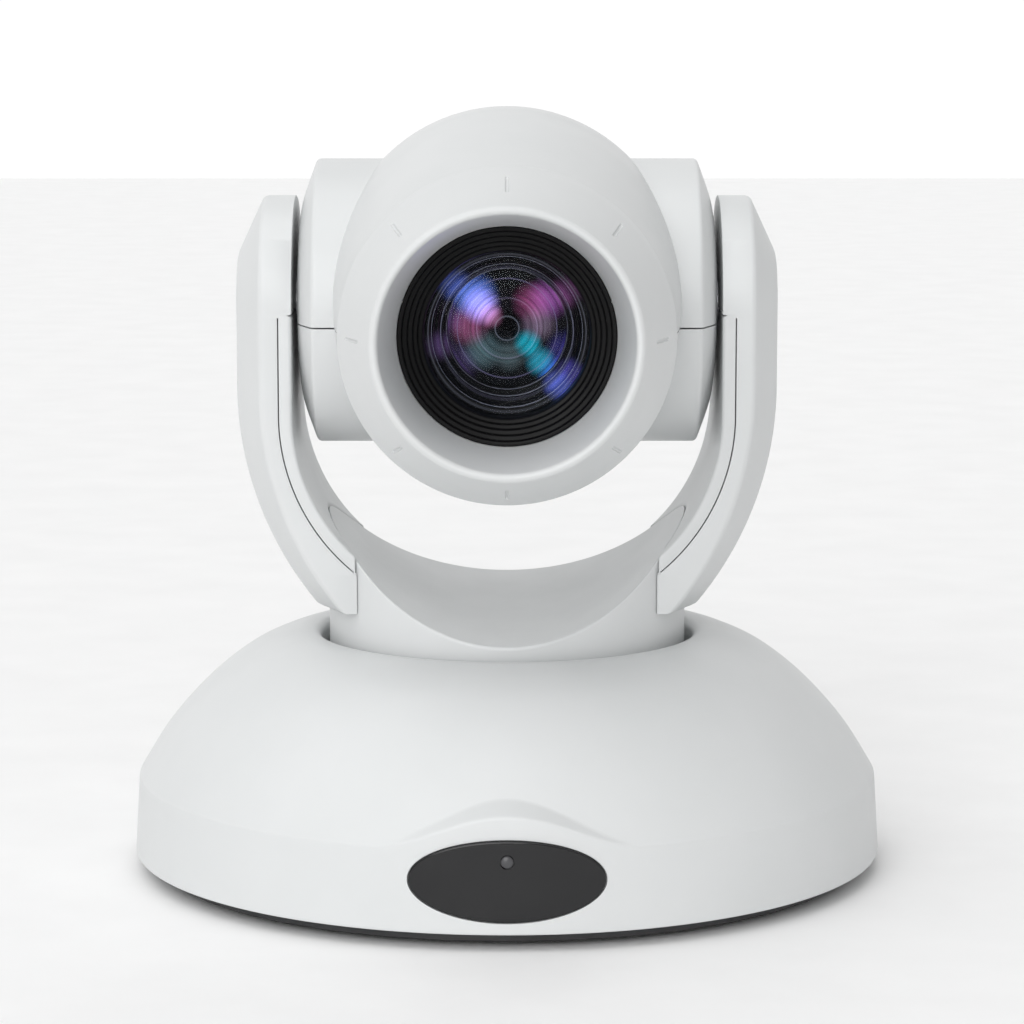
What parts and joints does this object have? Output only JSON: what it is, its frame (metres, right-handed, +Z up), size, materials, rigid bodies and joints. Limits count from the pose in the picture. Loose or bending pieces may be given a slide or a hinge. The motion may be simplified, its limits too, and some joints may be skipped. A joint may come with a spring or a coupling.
{
  "type": "ptz camera",
  "caption": "Free-standing pan, tilt and zoom conference camera: domed base, turntable with a two-armed yoke, and a tilting head with a hooded zoom lens.",
  "frame": {"origin": "on the table plane, under the middle of the base's outline", "axes": "+Z up, -Y the way the lens looks at rest, +X to the right of someone who faces the lens"},
  "size_m": [0.1984, 0.181, 0.2004],
  "materials": {
    "white_plastic": "fine satin texture",
    "black_plastic": "satin",
    "gloss_black": "polished window",
    "black_steel": "powder coat",
    "rubber": "matt",
    "lamp_lens": "diffuse lens",
    "steel": "machined",
    "cast_metal": "die cast",
    "brass": "machined",
    "circuit_board": "solder mask",
    "nylon": "natural moulded",
    "lens_glass": "coated optics"
  },
  "bodies": {
    "base": {"base_shell": "white_plastic", "front_window": "gloss_black", "status_lamp": "lamp_lens", "bottom_plate": "black_steel", "foot_1": "rubber", "foot_2": "rubber", "foot_3": "rubber", "foot_4": "rubber", "base_screw_1": "steel", "base_screw_2": "steel", "base_screw_3": "steel", "base_screw_4": "steel", "tripod_insert": "brass", "rear_panel": "black_plastic", "power_jack": "black_plastic", "video_socket": "black_plastic", "network_socket": "black_plastic", "usb_socket": "black_plastic", "serial_socket": "black_plastic", "switch_housing": "black_plastic", "main_board": "circuit_board", "pan_chassis": "cast_metal", "pan_bearing": "steel", "pan_motor": "steel"},
    "switch_knob": {"switch_knob": "nylon"},
    "pan_pinion": {"pan_pinion": "brass"},
    "yoke": {"yoke_cradle": "white_plastic", "pan_spindle": "steel", "retaining_ring": "steel", "pan_gear": "nylon", "yoke_frame": "cast_metal", "left_arm_shell": "white_plastic", "right_arm_shell": "white_plastic", "left_arm_cover": "white_plastic", "right_arm_cover": "white_plastic", "left_tilt_stub": "steel", "right_tilt_stub": "steel", "tilt_gear": "nylon"},
    "head": {"head_upper_shell": "white_plastic", "head_lower_shell": "white_plastic", "head_screw_1": "steel", "head_screw_2": "steel", "head_screw_3": "steel", "front_bezel": "white_plastic", "lens_barrel": "black_plastic", "front_lens": "lens_glass", "left_guide_rod": "steel", "right_guide_rod": "steel", "iris_ring": "black_plastic", "camera_bracket": "cast_metal", "image_sensor": "black_plastic", "sensor_board": "circuit_board", "tilt_motor": "steel", "left_tilt_bearing": "steel", "right_tilt_bearing": "steel"},
    "tilt_pinion": {"tilt_pinion": "brass"},
    "zoom_group": {"zoom_carrier": "black_plastic", "zoom_lens": "lens_glass"},
    "focus_group": {"focus_carrier": "black_plastic", "focus_lens": "lens_glass"}
  },
  "joints": [
    {"name": "pan", "type": "hinge", "parent": "base", "child": "yoke", "pos_m": [0, 0.0087, 0.05], "axis": [0, 0, 1], "range_deg": [-160, 160]},
    {"name": "tilt", "type": "hinge", "parent": "yoke", "child": "head", "pos_m": [0, 0.0087, 0.1497], "axis": [-1, 0, 0], "range_deg": [-30, 90]},
    {"name": "pan_pinion_turn", "type": "hinge", "parent": "base", "child": "pan_pinion", "pos_m": [0, -0.02345, 0.0435], "axis": [0, 0, 1], "range_deg": [-480, 480]},
    {"name": "tilt_pinion_turn", "type": "hinge", "parent": "head", "child": "tilt_pinion", "pos_m": [0.0448, 0.02351, 0.13489], "axis": [-1, 0, 0], "range_deg": [-67.5, 202.5]},
    {"name": "zoom_slide", "type": "slide", "parent": "head", "child": "zoom_group", "axis": [0, 1, 0], "range_m": [-0.004, 0.009]},
    {"name": "focus_slide", "type": "slide", "parent": "head", "child": "focus_group", "axis": [0, 1, 0], "range_m": [-0.005, 0.006]},
    {"name": "address_switch", "type": "hinge", "parent": "base", "child": "switch_knob", "pos_m": [0.046, 0.0852, 0.0185], "axis": [0, 1, 0], "continuous": true}
  ],
  "couplings": [
    {"joint": "pan_pinion_turn", "follows": "pan", "ratio": -3},
    {"joint": "tilt_pinion_turn", "follows": "tilt", "ratio": 2.25}
  ]
}
